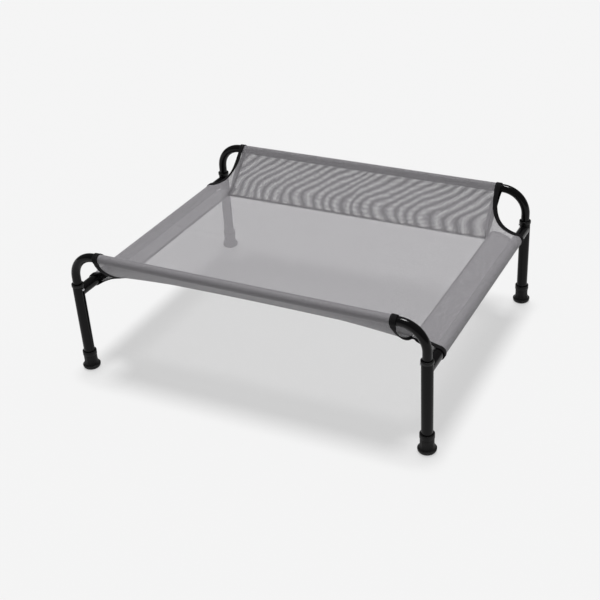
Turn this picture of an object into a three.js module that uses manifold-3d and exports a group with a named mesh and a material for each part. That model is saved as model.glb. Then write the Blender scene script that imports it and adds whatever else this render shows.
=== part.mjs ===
// A raised dog bed: a knock-down tube frame that holds a mesh sling off the floor.
// Millimetres, +Z up. X runs along the long rails, +Y points to the rear, and the
// origin is on the floor at the middle of the bed.
//
// Four legs stand on rubber feet. A side rail slides over a stub on each leg, and a
// long rail, in two halves, bends down into the mouths of the legs in front and
// behind. A sprung button in each end of the long rails snaps into the leg. The sling
// wraps the side rails in flat sleeves and climbs to the long rails as two bolsters.

import * as THREE from 'three';
import { mergeVertices } from 'three/addons/utils/BufferGeometryUtils.js';
import Module from 'manifold-3d';

const wasm = await Module();
wasm.setup();

// Frame
const LEG_X = 417; // middle of the bed to a leg's axis, along X
const LEG_Y = 324; // middle of the bed to a leg's axis, along Y
const LEG_RADIUS = 12.5;
const RAIL_RADIUS = 10; // long rails
const TUBE_WALL = 1.2;
const LEG_BOTTOM = 6; // the leg stands on the floor of its foot's cup
const LEG_TOP = 215;
const SIDE_RAIL_Z = 200; // axis height of the side rails
const LONG_RAIL_Z = 297; // axis height of the long rails
const BEND_RADIUS = 58; // of a long rail's centre line
const RAIL_END_Z = 165; // a long rail's end, inside the leg
const STUB_RADIUS = 11;
const STUB_REACH = 57.5; // from the leg's axis to the stub's end
const WELD_DEPTH = 0.3; // how far the stub reaches into the leg's wall
const SPIGOT_RADIUS = 8.5; // the left half's reduced end, inside the right half
const SPIGOT_LENGTH = 40;
const SPIGOT_ROOT = 8; // how far back the reduced end starts, inside its own half
const SPIGOT_DEPTH = 0.4; // how far its root reaches into that half's wall

// Fittings
const FOOT_LIP_RADIUS = 16;
const FOOT_LIP_TOP = 46;
const FOOT_LIP_BOTTOM = 35;
const FOOT_LIP_EDGE = 1;
const FOOT_NECK_RADIUS = 15.3;
const FOOT_NECK_BOTTOM = 22;
const FOOT_FLARE_RADIUS = 20.5;
const FOOT_FLARE_Z = 9; // height of the widest ring
const FOOT_BASE_RADIUS = 15;
const COLLAR_RADIUS = 13.75;
const COLLAR_HEIGHT = 7;
const COLLAR_SKIRT_BOTTOM = 180;
const COLLAR_CHAMFER = 1;
const BUTTON_Z = 208.5;
const BUTTON_RADIUS = 3;
const BUTTON_PROUD = 2.8; // how far the button stands out of the leg
const BUTTON_DOME = 1.2;
const FLANGE_RADIUS = 4.2;
const FLANGE_THICKNESS = 0.8;
const FLANGE_FACE = 7.2; // from the leg's axis to the flange's outer face
const SPRING_THICKNESS = 0.6;
const SPRING_WIDTH = 6;
const SPRING_TOP = 5; // of both arms, above the button's axis
const SPRING_BEND = -6; // where both arms turn towards the fold
const SPRING_DROP = 30; // from the button to the fold of the spring
const SPRING_REST = -7.6; // where the spring's back arm leans, from the leg's axis

// Sling
const CLOTH = 1; // thickness of one layer
const FOLD_Y = 229; // where a bolster rises from the bed
const SEAM_X = 349; // where a side sleeve is sewn back to the bed
const SEAM_Z = 204.8;
const SEAM_HALF_THICKNESS = 1.1;
const OPEN_HALF_WIDTH = 1; // of the space between two layers, where the seam allowance ends
const SEAM_ALLOWANCE = 12; // the width over which two layers are sewn together
const BOLSTER_HALF_LENGTH = 343;
const SLEEVE_HALF_LENGTH = 255;
const TAPE_WIDTH = 11;
const TAPE_THICKNESS = 2;
const CUTOUT_CORNER = [0, -63, -75]; // from a tape's upper end to its corner of the cut-out
const CUTOUT_ROUNDING = 0.77; // exponent of the cut-out's rounded corner

const GAP = 0.3; // between pieces that touch
const SIDES = 20; // facets round a tube
const BUTTON_SIDES = 16; // facets round a button and its hole
const BEND_STEPS = 8;
const CURVE_STEPS = 8;
const FOOT_STEPS = 4; // in each curve of a foot
const MERGE_DISTANCE = 1e-4;

const X_AXIS = new THREE.Vector3(1, 0, 0);
const Y_AXIS = new THREE.Vector3(0, 1, 0);
const Z_AXIS = new THREE.Vector3(0, 0, 1);

const bed = new THREE.Group();

// ---- Helpers ---------------------------------------------------------------------

function material(color, roughness, metalness) {
  return new THREE.MeshStandardMaterial({ color, roughness, metalness });
}

const paint = () => material(0x1e1d1e, 0.35, 0.5);
const rubber = () => material(0x1a1a1b, 0.8, 0);
const plastic = () => material(0x171718, 0.55, 0);
const zinc = () => material(0xb9bcc0, 0.3, 0.9);
const springSteel = () => material(0x8d9095, 0.35, 0.9);
const cloth = () => material(0x9f9ea2, 0.85, 0);
const tape = () => material(0x161416, 0.9, 0);

function add(name, geometry, look) {
  const mesh = new THREE.Mesh(geometry, look);
  mesh.name = name;
  bed.add(mesh);
  return mesh;
}

function solid(geometry) {
  const bare = geometry.clone();
  bare.deleteAttribute('normal');
  bare.deleteAttribute('uv');
  const merged = mergeVertices(bare, MERGE_DISTANCE);
  const vertProperties = new Float32Array(merged.attributes.position.array);
  const triVerts = new Uint32Array(merged.index.array);
  return new wasm.Manifold(new wasm.Mesh({ numProp: 3, vertProperties, triVerts }));
}

function geometryOf(manifold) {
  const mesh = manifold.getMesh();
  const geometry = new THREE.BufferGeometry();
  geometry.setAttribute('position', new THREE.BufferAttribute(mesh.vertProperties, 3));
  geometry.setIndex(new THREE.BufferAttribute(mesh.triVerts, 1));
  return geometry;
}

// Turns a profile of [radius, height] points round the Z axis.
function turned(profile, sides = SIDES) {
  const points = profile.map(([radius, height]) => new THREE.Vector2(radius, height));
  return new THREE.LatheGeometry(points, sides).rotateX(Math.PI / 2);
}

// A pipe along Z, with the closed profile that a lathe needs.
function pipe(outer, inner, low, high) {
  return turned([[inner, low], [outer, low], [outer, high], [inner, high], [inner, low]]);
}

function rod(radius, low, high, sides = SIDES) {
  return turned([[0, low], [radius, low], [radius, high], [0, high]], sides);
}

// Lays geometry that runs along Z so that it runs along X or Y instead.
const alongX = (geometry) => geometry.rotateY(Math.PI / 2);
const alongY = (geometry) => geometry.rotateX(-Math.PI / 2);

// Round outline of two circles of different radii and their two outer tangents.
function belt(shape, centre, radius, end, endRadius) {
  const direction = Math.atan2(end[1] - centre[1], end[0] - centre[0]);
  const distance = Math.hypot(end[0] - centre[0], end[1] - centre[1]);
  const lean = Math.acos((radius - endRadius) / distance);
  shape.absarc(centre[0], centre[1], radius, direction + lean, direction - lean + 2 * Math.PI, false);
  shape.absarc(end[0], end[1], endRadius, direction - lean, direction + lean, false);
  return shape;
}

// Two layers of cloth that go round a rail and are sewn together at a seam, as the
// section of a sleeve. The clearance keeps the cloth off the rail.
function sleeveSection(rail, railRadius, seam) {
  const inner = railRadius + GAP;
  const reach = Math.hypot(seam[0] - rail[0], seam[1] - rail[1]);
  const share = 1 - SEAM_ALLOWANCE / reach;
  const open = [0, 1].map((i) => rail[i] + (seam[i] - rail[i]) * share);
  const section = belt(new THREE.Shape(), rail, inner + CLOTH, seam, SEAM_HALF_THICKNESS);
  section.holes.push(belt(new THREE.Path(), rail, inner, open, OPEN_HALF_WIDTH));
  return section;
}

// A centre line given by stations, so that a straight run takes a single step.
class StationLine extends THREE.Curve {
  constructor(stations) {
    super();
    this.stations = stations;
  }

  station(u) {
    return this.stations[Math.round(u * (this.stations.length - 1))];
  }

  getPointAt(u, target = new THREE.Vector3()) {
    return target.copy(this.station(u).point);
  }

  getTangentAt(u, target = new THREE.Vector3()) {
    return target.copy(this.station(u).tangent);
  }
}

// ---- Legs, feet and collars ------------------------------------------------------

// A hole through one wall, from a leg's axis towards the middle of the bed.
function buttonHole(sideX) {
  const drill = alongX(rod(BUTTON_RADIUS + GAP, 0, 2 * LEG_RADIUS, BUTTON_SIDES));
  if (sideX > 0) drill.rotateZ(Math.PI);
  return solid(drill.translate(0, 0, BUTTON_Z));
}

// The leg's tube with the stub welded to it that carries a side rail.
function leg(sideX, sideY) {
  const tube = solid(pipe(LEG_RADIUS, LEG_RADIUS - TUBE_WALL, LEG_BOTTOM, LEG_TOP));
  const stub = alongY(pipe(STUB_RADIUS, STUB_RADIUS - TUBE_WALL, 0, STUB_REACH));
  if (sideY > 0) stub.rotateZ(Math.PI);
  stub.translate(0, 0, SIDE_RAIL_Z);
  const inside = solid(rod(LEG_RADIUS - WELD_DEPTH, LEG_BOTTOM, LEG_TOP));
  const body = tube.add(solid(stub).subtract(inside));
  return geometryOf(body.subtract(buttonHole(sideX)));
}

// A rubber cup with a lip at the top and a flared, rounded base.
function foot() {
  const cup = LEG_RADIUS + GAP;
  const cupFloor = LEG_BOTTOM - GAP;
  const shoulder = FOOT_NECK_BOTTOM - FOOT_FLARE_Z;
  const profile = [[0, 0], [FOOT_BASE_RADIUS, 0]];
  for (let i = 1; i <= FOOT_STEPS; i++) {
    const turn = (i / FOOT_STEPS) * (Math.PI / 2);
    const outward = (FOOT_FLARE_RADIUS - FOOT_BASE_RADIUS) * Math.sin(turn);
    profile.push([FOOT_BASE_RADIUS + outward, FOOT_FLARE_Z * (1 - Math.cos(turn))]);
  }
  for (let i = 1; i <= FOOT_STEPS; i++) {
    const turn = (i / FOOT_STEPS) * (Math.PI / 2);
    const inward = (FOOT_FLARE_RADIUS - FOOT_NECK_RADIUS) * Math.sin(turn);
    profile.push([FOOT_FLARE_RADIUS - inward, FOOT_NECK_BOTTOM - shoulder * Math.cos(turn)]);
  }
  profile.push([FOOT_NECK_RADIUS, FOOT_LIP_BOTTOM - FOOT_LIP_EDGE], [FOOT_LIP_RADIUS, FOOT_LIP_BOTTOM]);
  profile.push([FOOT_LIP_RADIUS, FOOT_LIP_TOP - FOOT_LIP_EDGE]);
  profile.push([FOOT_LIP_RADIUS - FOOT_LIP_EDGE, FOOT_LIP_TOP]);
  profile.push([cup, FOOT_LIP_TOP], [cup, cupFloor], [0, cupFloor]);
  return turned(profile);
}

// A plastic bush in the leg's mouth, with a ring that rests on the rim.
function collar(sideX) {
  const bore = RAIL_RADIUS + GAP;
  const skirt = LEG_RADIUS - TUBE_WALL - GAP;
  const seat = LEG_TOP + GAP;
  const top = seat + COLLAR_HEIGHT;
  const edge = COLLAR_RADIUS - COLLAR_CHAMFER;
  const profile = [
    [bore, COLLAR_SKIRT_BOTTOM], [skirt, COLLAR_SKIRT_BOTTOM], [skirt, seat], [COLLAR_RADIUS, seat],
    [COLLAR_RADIUS, top - COLLAR_CHAMFER], [edge, top], [bore, top], [bore, COLLAR_SKIRT_BOTTOM],
  ];
  return geometryOf(solid(turned(profile)).subtract(buttonHole(sideX)));
}

// ---- Rails -----------------------------------------------------------------------

// Half a long rail in its own XZ plane, for the leg on the given side of the bed.
function longRailHalf(sideX) {
  const bendX = LEG_X - BEND_RADIUS;
  const bendZ = LONG_RAIL_Z - BEND_RADIUS;
  const station = (x, z, tx, tz) => ({
    point: new THREE.Vector3(sideX * x, 0, z),
    tangent: new THREE.Vector3(sideX * tx, 0, tz),
  });
  const stations = [station(LEG_X, RAIL_END_Z, 0, 1)];
  for (let i = 0; i <= BEND_STEPS; i++) {
    const turn = (i / BEND_STEPS) * (Math.PI / 2);
    const cos = Math.cos(turn);
    const sin = Math.sin(turn);
    stations.push(station(bendX + BEND_RADIUS * cos, bendZ + BEND_RADIUS * sin, -sin, cos));
  }
  stations.push(station(GAP / 2, LONG_RAIL_Z, -1, 0));
  const section = new THREE.Shape().absarc(0, 0, RAIL_RADIUS, 0, 2 * Math.PI);
  section.holes.push(new THREE.Path().absarc(0, 0, RAIL_RADIUS - TUBE_WALL, 0, 2 * Math.PI));
  const tube = new THREE.ExtrudeGeometry(section, {
    curveSegments: SIDES / 2,
    steps: stations.length - 1,
    extrudePath: new StationLine(stations),
  });
  return solid(tube).subtract(buttonHole(sideX).translate([sideX * LEG_X, 0, 0]));
}

// The left half's end, drawn down to slide into the right half.
function spigot() {
  const root = RAIL_RADIUS - TUBE_WALL + SPIGOT_DEPTH;
  const bore = SPIGOT_RADIUS - TUBE_WALL;
  const neck = -GAP / 2;
  const profile = [
    [bore, -SPIGOT_ROOT], [root, -SPIGOT_ROOT], [root, neck], [SPIGOT_RADIUS, neck],
    [SPIGOT_RADIUS, SPIGOT_LENGTH], [bore, SPIGOT_LENGTH], [bore, -SPIGOT_ROOT],
  ];
  return solid(alongX(turned(profile)).translate(0, 0, LONG_RAIL_Z));
}

// A side rail's tube, its ends shaped to the legs that they butt against.
function sideRail() {
  const tube = solid(alongY(pipe(LEG_RADIUS, LEG_RADIUS - TUBE_WALL, -LEG_Y, LEG_Y)));
  const legAt = (y) => solid(rod(LEG_RADIUS + GAP, -2 * LEG_RADIUS, 2 * LEG_RADIUS).translate(0, y, 0));
  return geometryOf(tube.subtract(legAt(-LEG_Y)).subtract(legAt(LEG_Y)));
}

// ---- Snap buttons ----------------------------------------------------------------

// The button points along +X from the leg's axis, through the tubes and the collar.
function snapButton() {
  const tip = LEG_RADIUS + BUTTON_PROUD;
  const shoulder = FLANGE_FACE - FLANGE_THICKNESS;
  const domed = Math.SQRT1_2; // halfway along a quarter circle
  const profile = [[0, shoulder], [FLANGE_RADIUS, shoulder], [FLANGE_RADIUS, FLANGE_FACE]];
  profile.push([BUTTON_RADIUS, FLANGE_FACE], [BUTTON_RADIUS, tip - BUTTON_DOME]);
  profile.push([BUTTON_RADIUS * domed, tip - BUTTON_DOME * (1 - domed)], [0, tip]);
  return alongX(turned(profile, BUTTON_SIDES));
}

// A V-shaped leaf inside the rail: the front arm carries the button.
function buttonSpring() {
  const half = SPRING_THICKNESS / 2;
  const front = FLANGE_FACE - FLANGE_THICKNESS - GAP - half;
  const foldX = (front + SPRING_REST) / 2;
  const outline = new THREE.Shape();
  outline.moveTo(front - half, SPRING_TOP);
  outline.lineTo(front - half, SPRING_BEND);
  outline.lineTo(foldX, -SPRING_DROP + 3 * half);
  outline.lineTo(SPRING_REST + half, SPRING_BEND);
  outline.lineTo(SPRING_REST + half, SPRING_TOP);
  outline.lineTo(SPRING_REST - half, SPRING_TOP);
  outline.lineTo(SPRING_REST - half, SPRING_BEND);
  outline.lineTo(foldX - half, -SPRING_DROP);
  outline.lineTo(foldX + half, -SPRING_DROP);
  outline.lineTo(front + half, SPRING_BEND);
  outline.lineTo(front + half, SPRING_TOP);
  const leaf = new THREE.ExtrudeGeometry(outline, { depth: SPRING_WIDTH, bevelEnabled: false });
  return leaf.rotateX(Math.PI / 2).translate(0, SPRING_WIDTH / 2, 0);
}

// ---- Sling -----------------------------------------------------------------------

// The rear bolster: two layers that rise from the fold line to the long rail.
function bolster() {
  const section = sleeveSection([LEG_Y, LONG_RAIL_Z], RAIL_RADIUS, [FOLD_Y, SEAM_Z]);
  const geometry = new THREE.ExtrudeGeometry(section, {
    curveSegments: CURVE_STEPS,
    depth: 2 * BOLSTER_HALF_LENGTH,
    bevelEnabled: false,
  });
  geometry.translate(0, 0, -BOLSTER_HALF_LENGTH);
  return geometry.applyMatrix4(new THREE.Matrix4().makeBasis(Y_AXIS, Z_AXIS, X_AXIS));
}

// The right sleeve: two layers from the side seam round the side rail.
function sideSleeve() {
  const section = sleeveSection([LEG_X, SIDE_RAIL_Z], LEG_RADIUS, [SEAM_X, SEAM_Z]);
  const geometry = new THREE.ExtrudeGeometry(section, {
    curveSegments: CURVE_STEPS,
    depth: 2 * SLEEVE_HALF_LENGTH,
    bevelEnabled: false,
  });
  geometry.translate(0, 0, -SLEEVE_HALF_LENGTH);
  return geometry.rotateX(Math.PI / 2);
}

// The line of a tape, whose stations also say which way its face looks.
class TapeLine extends StationLine {
  computeFrenetFrames() {
    const tangents = this.stations.map(({ tangent }) => tangent);
    const binormals = this.stations.map(({ tangent, face }) => tangent.clone().cross(face).normalize());
    const normals = binormals.map((binormal, i) => binormal.clone().cross(tangents[i]).normalize());
    return { tangents, normals, binormals };
  }
}

// The tape that binds the rear right cut-out: a curved strip that leaves a ring on the
// long rail, follows the edge of the cloth and lies down on a ring on the side rail.
function cornerBinding() {
  const half = TAPE_WIDTH / 2;
  const ringX = BOLSTER_HALF_LENGTH + GAP + half;
  const ringY = SLEEVE_HALF_LENGTH + GAP + half;
  const railRing = pipe(RAIL_RADIUS + GAP + TAPE_THICKNESS, RAIL_RADIUS + GAP, -half, half);
  const sideRing = pipe(LEG_RADIUS + GAP + TAPE_THICKNESS, LEG_RADIUS + GAP, -half, half);
  alongX(railRing).translate(ringX, LEG_Y, LONG_RAIL_Z);
  alongY(sideRing).translate(LEG_X, ringY, SIDE_RAIL_Z);

  const upperFace = new THREE.Vector3(0, SEAM_Z - LONG_RAIL_Z, LEG_Y - FOLD_Y).normalize();
  const start = new THREE.Vector3(ringX, LEG_Y, LONG_RAIL_Z);
  start.addScaledVector(upperFace, RAIL_RADIUS + GAP + TAPE_THICKNESS / 2);
  const end = new THREE.Vector3(LEG_X, ringY, SIDE_RAIL_Z + LEG_RADIUS + GAP + TAPE_THICKNESS / 2);
  const down = new THREE.Vector3(...CUTOUT_CORNER);
  const across = end.clone().sub(start).sub(down);
  const middle = (t) => {
    const reach = Math.sin((t * Math.PI) / 2) ** CUTOUT_ROUNDING;
    const swing = 1 - Math.cos((t * Math.PI) / 2) ** CUTOUT_ROUNDING;
    return start.clone().addScaledVector(down, reach).addScaledVector(across, swing);
  };
  const nudge = 0.01; // share of the curve, to each side, that a tangent is taken from
  const stations = [];
  for (let i = 0; i <= CURVE_STEPS; i++) {
    const t = i / CURVE_STEPS;
    const tangent = middle(Math.min(t + nudge, 1)).sub(middle(Math.max(t - nudge, 0))).normalize();
    stations.push({ point: middle(t), tangent, face: upperFace.clone().lerp(Z_AXIS, t) });
  }
  const section = new THREE.Shape();
  section.moveTo(-TAPE_THICKNESS / 2, -half);
  section.lineTo(TAPE_THICKNESS / 2, -half);
  section.lineTo(TAPE_THICKNESS / 2, half);
  section.lineTo(-TAPE_THICKNESS / 2, half);
  const strip = new THREE.ExtrudeGeometry(section, {
    steps: CURVE_STEPS,
    extrudePath: new TapeLine(stations),
  });
  return solid(strip).add(solid(railRing)).add(solid(sideRing));
}

// ---- The bed ---------------------------------------------------------------------

const SIDES_X = { left: -1, right: 1 };
const SIDES_Y = { front: -1, rear: 1 };

for (const [nameY, sideY] of Object.entries(SIDES_Y)) {
  for (const [nameX, sideX] of Object.entries(SIDES_X)) {
    const corner = `${nameY}_${nameX}`;
    const at = (mesh, z = 0) => mesh.position.set(sideX * LEG_X, sideY * LEG_Y, z);
    at(add(`leg_${corner}`, leg(sideX, sideY), paint()));
    at(add(`foot_${corner}`, foot(), rubber()));
    at(add(`leg_collar_${corner}`, collar(sideX), plastic()));
    const button = add(`snap_button_${corner}`, snapButton(), zinc());
    const spring = add(`button_spring_${corner}`, buttonSpring(), springSteel());
    for (const piece of [button, spring]) {
      at(piece, BUTTON_Z);
      if (sideX > 0) piece.rotation.z = Math.PI;
    }
    let half = longRailHalf(sideX);
    if (sideX < 0) half = half.add(spigot());
    add(`${nameY}_rail_${nameX}_half`, geometryOf(half), paint()).position.y = sideY * LEG_Y;
    const binding = geometryOf(cornerBinding().scale([sideX, sideY, 1]));
    add(`corner_binding_${corner}`, binding, tape());
  }
}

for (const [nameX, sideX] of Object.entries(SIDES_X)) {
  add(`side_rail_${nameX}`, sideRail(), paint()).position.set(sideX * LEG_X, 0, SIDE_RAIL_Z);
  const sleeve = add(`sling_${nameX}_sleeve`, sideSleeve(), cloth());
  if (sideX < 0) sleeve.rotation.z = Math.PI;
}

for (const [nameY, sideY] of Object.entries(SIDES_Y)) {
  const roll = add(`sling_${nameY}_bolster`, bolster(), cloth());
  if (sideY < 0) roll.rotation.z = Math.PI;
}

const clear = SEAM_HALF_THICKNESS + GAP;
const panel = new THREE.BoxGeometry(2 * (SEAM_X - clear), 2 * (FOLD_Y - clear), CLOTH);
add('sling_bed_panel', panel, cloth()).position.z = SEAM_Z;

export default bed;
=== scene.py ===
import math

import bmesh
import bpy
import numpy as np
from mathutils import Matrix, Vector, noise

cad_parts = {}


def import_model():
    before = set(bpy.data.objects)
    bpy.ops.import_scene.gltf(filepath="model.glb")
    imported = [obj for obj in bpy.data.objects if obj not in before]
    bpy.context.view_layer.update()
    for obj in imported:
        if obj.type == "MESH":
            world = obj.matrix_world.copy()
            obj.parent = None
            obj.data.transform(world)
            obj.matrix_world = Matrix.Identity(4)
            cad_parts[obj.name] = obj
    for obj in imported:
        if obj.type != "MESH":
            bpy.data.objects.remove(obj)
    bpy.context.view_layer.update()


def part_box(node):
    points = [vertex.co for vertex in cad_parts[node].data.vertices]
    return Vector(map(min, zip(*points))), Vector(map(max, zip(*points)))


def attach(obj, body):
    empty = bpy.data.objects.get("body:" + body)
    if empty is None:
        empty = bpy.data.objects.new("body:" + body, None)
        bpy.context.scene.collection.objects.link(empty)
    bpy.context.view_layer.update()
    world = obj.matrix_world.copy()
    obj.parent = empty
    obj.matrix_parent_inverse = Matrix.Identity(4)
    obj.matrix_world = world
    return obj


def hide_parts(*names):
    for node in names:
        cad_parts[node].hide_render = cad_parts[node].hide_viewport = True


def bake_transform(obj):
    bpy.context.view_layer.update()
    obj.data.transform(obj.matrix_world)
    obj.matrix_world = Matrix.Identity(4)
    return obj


# The looks of the raised dog bed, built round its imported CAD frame. Metres, +Z up.
# X runs along the long rails and +Y points to the rear.

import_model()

MM = 0.001
BODY = "frame_and_sling"
SIDES_X = {"left": -1, "right": 1}
SIDES_Y = {"front": -1, "rear": 1}


# ---- Dimensions from the frame ---------------------------------------------------


def low(node):
    return np.array(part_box(node)[0])


def high(node):
    return np.array(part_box(node)[1])


def middle(node):
    return (low(node) + high(node)) / 2


def size(node):
    return high(node) - low(node)


LEG_X, LEG_Y = middle("foot_rear_right")[:2]
LEG_RADIUS = size("leg_rear_right")[0] / 2
LEG_BOTTOM = low("leg_rear_right")[2]
LEG_TOP = high("leg_rear_right")[2]
STUB_END = low("leg_rear_right")[1]
RAIL_RADIUS = size("rear_rail_right_half")[1] / 2
LONG_RAIL_Z = high("rear_rail_right_half")[2] - RAIL_RADIUS
RAIL_END_Z = low("rear_rail_right_half")[2]
SPIGOT_END = high("rear_rail_left_half")[0]
SIDE_RAIL_Z = middle("side_rail_right")[2]
FOOT_FLARE_RADIUS = size("foot_rear_right")[0] / 2
FOOT_TOP = high("foot_rear_right")[2]
COLLAR_RADIUS = size("leg_collar_rear_right")[0] / 2
COLLAR_BOTTOM, COLLAR_TOP = low("leg_collar_rear_right")[2], high("leg_collar_rear_right")[2]
BUTTON_Z = middle("snap_button_rear_right")[2]
FLANGE_RADIUS = size("snap_button_rear_right")[2] / 2
BUTTON_TIP = LEG_X - low("snap_button_rear_right")[0]
BUTTON_ROOT = LEG_X - high("snap_button_rear_right")[0]
SPRING_FRONT = LEG_X - low("button_spring_rear_right")[0]
SPRING_BACK = LEG_X - high("button_spring_rear_right")[0]
SPRING_WIDTH = size("button_spring_rear_right")[1]
SPRING_BOTTOM, SPRING_TOP = low("button_spring_rear_right")[2], high("button_spring_rear_right")[2]
BOLSTER_HALF_LENGTH = size("sling_rear_bolster")[0] / 2
SLEEVE_HALF_LENGTH = size("sling_right_sleeve")[1] / 2

PANEL_GAP = 1.4 * MM  # from the panel's edges to the sewn lines
SEAM_X, FOLD_Y = high("sling_bed_panel")[:2] + PANEL_GAP
SEAM_Z = middle("sling_bed_panel")[2]

# What the boxes don't say
GAP = 0.3 * MM
TUBE_WALL = 1.2 * MM
BEND_RADIUS = 58 * MM
BEND_STEPS = 33  # points round a long rail's bend
RAIL_STEPS = 5  # and down its leg
STUB_RADIUS = 11 * MM
SPIGOT_RADIUS = 8.5 * MM
SPIGOT_ROOT = -8 * MM  # where a left half's swaged end starts, inside it
WELD_DEPTH = 0.5 * MM  # how far a stub starts inside its leg's wall
BUTTON_RADIUS = 3 * MM
FLANGE_THICKNESS = 0.8 * MM
SPRING_THICKNESS = 0.6 * MM
SPRING_BEND_Z = BUTTON_Z - 6 * MM
SPRING_STEPS = 9  # points in each straight part
SPRING_STILL = 0.24  # share of a spring, from its fold, that doesn't go with the button

# Feet
FOOT_LIP_RADIUS = 16 * MM
FOOT_LIP_BOTTOM = 35 * MM
FOOT_NECK_RADIUS = 15.3 * MM
FOOT_NECK_BOTTOM = 22 * MM
FOOT_FLARE_Z = 9 * MM
FOOT_BASE_RADIUS = 15 * MM
FOOT_EDGE = 1 * MM
FOOT_STEPS = 10  # points in each curve
FOOT_NECK_RINGS = (0.35, 0.7, 1.0)  # shares of the neck's height
FOOT_FLATS = 8
FOOT_FLAT_DEPTH = 0.55  # 0 leaves the neck round, 1 makes it a full polygon
FOOT_TURNS = {"front_left": 0.1, "front_right": -0.35, "rear_left": 0.3, "rear_right": -0.2}

# Sling
CLOTH_RADIUS_OVER = 0.8 * MM  # from a rail's surface to the middle of the cloth on it
HEM = 6 * MM
HEM_STEP = 0.8 * MM  # from one layer of a hem to the next
HEM_FOLD = (0.03, 0.9)  # where its folded-in layer starts and ends, as shares of its width
CUTOUT_CORNER = np.array([0, -63, -75]) * MM
CUTOUT_ROUNDING = 0.77
SAG = 3.5 * MM
FOLD_RISE = 2.5 * MM  # the middle of a fold line above its ends
FOLD_PULL = 3.5 * MM  # and inward of them
BELLY = {-1: 13 * MM, 1: 2 * MM}  # how far a bolster's outer layer hangs out at its ends
BELLY_FULLNESS = 0.6  # below 1 it is fuller than a sine
FLAP_LIFT = 5 * MM  # a sleeve's lower layer above a straight line, at its ends
FLAP_LIFT_POWER = 6  # how suddenly it lifts
FLAP_REACH = {-1: 5.5 * MM, 1: 48 * MM}  # how far that layer goes on past a fold line

# Threads of the mesh
WARP_PITCH = 1.2 * MM
WEFT_PITCH = 0.7 * MM
OPEN = (0.37, 0.57)  # share of the width between two warp threads, and between two weft ones
STRETCHED_OPEN = (0.48, 0.71)  # the same in the rear bolster, which is stretched most
SLACK_OPEN = (0.25, 0.4)  # and where it is slack: outside the front bolster, under the side rails
SLACK_PAINTED_SHADE = 0.8  # painted shade: darker threads where the cloth faces away from the light
WANDER = 1.0 * MM  # how far threads stray from straight lines
WANDER_SCALE = 14  # waves in a metre
CLOUD_SCALE = 170  # and of the lighter and darker patches
THREAD_SLOPE = 3.0  # how steeply a thread falls from its middle to its sides
THREAD_DARK = (0.212, 0.205, 0.217, 1)
THREAD_LIGHT = (0.315, 0.306, 0.321, 1)
UNDER_BIAS = 0.35  # slant of the threads on the underside of a side sleeve
OUTER_STRETCH = {-1: 1.2, 1: 1.04}  # threads of a bolster's outer layer are this much closer
OUTER_TAPER = 0.0088  # and this much less so at the rail
OUTER_SKEW = 3.5 * MM  # and they lean by this much over the first part of the way up
UPPER_SKEW = 2.2 * MM  # and by this much all the way
SKEW_HEIGHT = 0.4  # as a share of a bolster's height
CREASE = 0.22 * MM  # half the step between the threads on the two sides of a crease
CREASE_X = -5 * MM
CREASE_WIDTH = 4 * MM

# Waves and marks in the cloth
RIPPLE = 0.7 * MM
RIPPLE_SCALE = (15, 28)  # along X and Y
RIPPLE_FADE = 0.25  # the share of a strip's half length over which the waves fade out
MARK_Y = 20 * MM  # the ridge across the bed's left end
MARK_END = -150 * MM
MARK_FADE = 120 * MM
MARK_HEIGHT = 2.2 * MM
MARK_WIDTH = 9 * MM

# Binding tape and stitches
TAPE_WIDTH = 11 * MM
TAPE_THICKNESS = 2 * MM
TAPE_LIFT = 0.8 * MM
TAPE_STEP = 2.5 * MM
TAPE_SWELL = 0.25  # how much wider the tape is round a long rail, where two lengths of it meet
TAPE_SWELL_START = 20 * MM  # from the rail's axis
TAPE_SWELL_REACH = 8 * MM
TAPE_END = 16 * MM  # the length over which it narrows at its ends
TAPE_END_WIDTH = 0.25
TAPE_FREE_START = 16 * MM  # from a rail's axis, where the tape starts to lean to the bed
TAPE_FREE_REACH = 14 * MM
TAPE_LEAN = 1.5
TAPE_RIB = 1.2 * MM
TAPE_YARN = 0.9 * MM
STITCH = 3.4 * MM
STITCH_GAP = 1.1 * MM
STITCH_INSET = 2 * MM  # from the tape's inner edge
# a stitch's rings: place along it, radius and height, the last two in thread radii
STITCH_RINGS = ((0, 0.4, -0.5), (0.15, 1, 0.3), (0.5, 1, 0.7), (0.85, 1, 0.3), (1, 0.4, -0.5))
THREAD_RADIUS = 0.28 * MM
SEAM_ROWS = (0.2, 0.75)  # where the two rows of a seam lie across its hem


# ---- Mesh helpers ----------------------------------------------------------------


def new_piece(name, vertices, faces, material, sharp=math.radians(40), closed=True):
    """A smooth-shaded object. A closed one's normals are made to point out."""
    mesh = bpy.data.meshes.new(name)
    mesh.from_pydata([tuple(v) for v in vertices], [], [tuple(int(i) for i in f) for f in faces])
    if closed:
        shaped = bmesh.new()
        shaped.from_mesh(mesh)
        bmesh.ops.recalc_face_normals(shaped, faces=shaped.faces)
        shaped.to_mesh(mesh)
        shaped.free()
    mesh.shade_smooth()
    mesh.set_sharp_from_angle(angle=sharp)
    mesh.materials.append(material)
    piece = bpy.data.objects.new(name, mesh)
    bpy.context.scene.collection.objects.link(piece)
    return piece


def skin(rings, looped=False):
    """Vertices and faces of the surface through closed rings of points."""
    rings = np.asarray(rings, float)
    count, sides = rings.shape[:2]
    index = np.arange(count * sides).reshape(count, sides)
    faces = []
    for i in range(count if looped else count - 1):
        ring, following = index[i], index[(i + 1) % count]
        for j in range(sides):
            k = (j + 1) % sides
            faces.append((ring[j], ring[k], following[k], following[j]))
    if not looped:
        faces.append(index[0][::-1])
        faces.append(index[-1])
    return rings.reshape(-1, 3), faces


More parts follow.
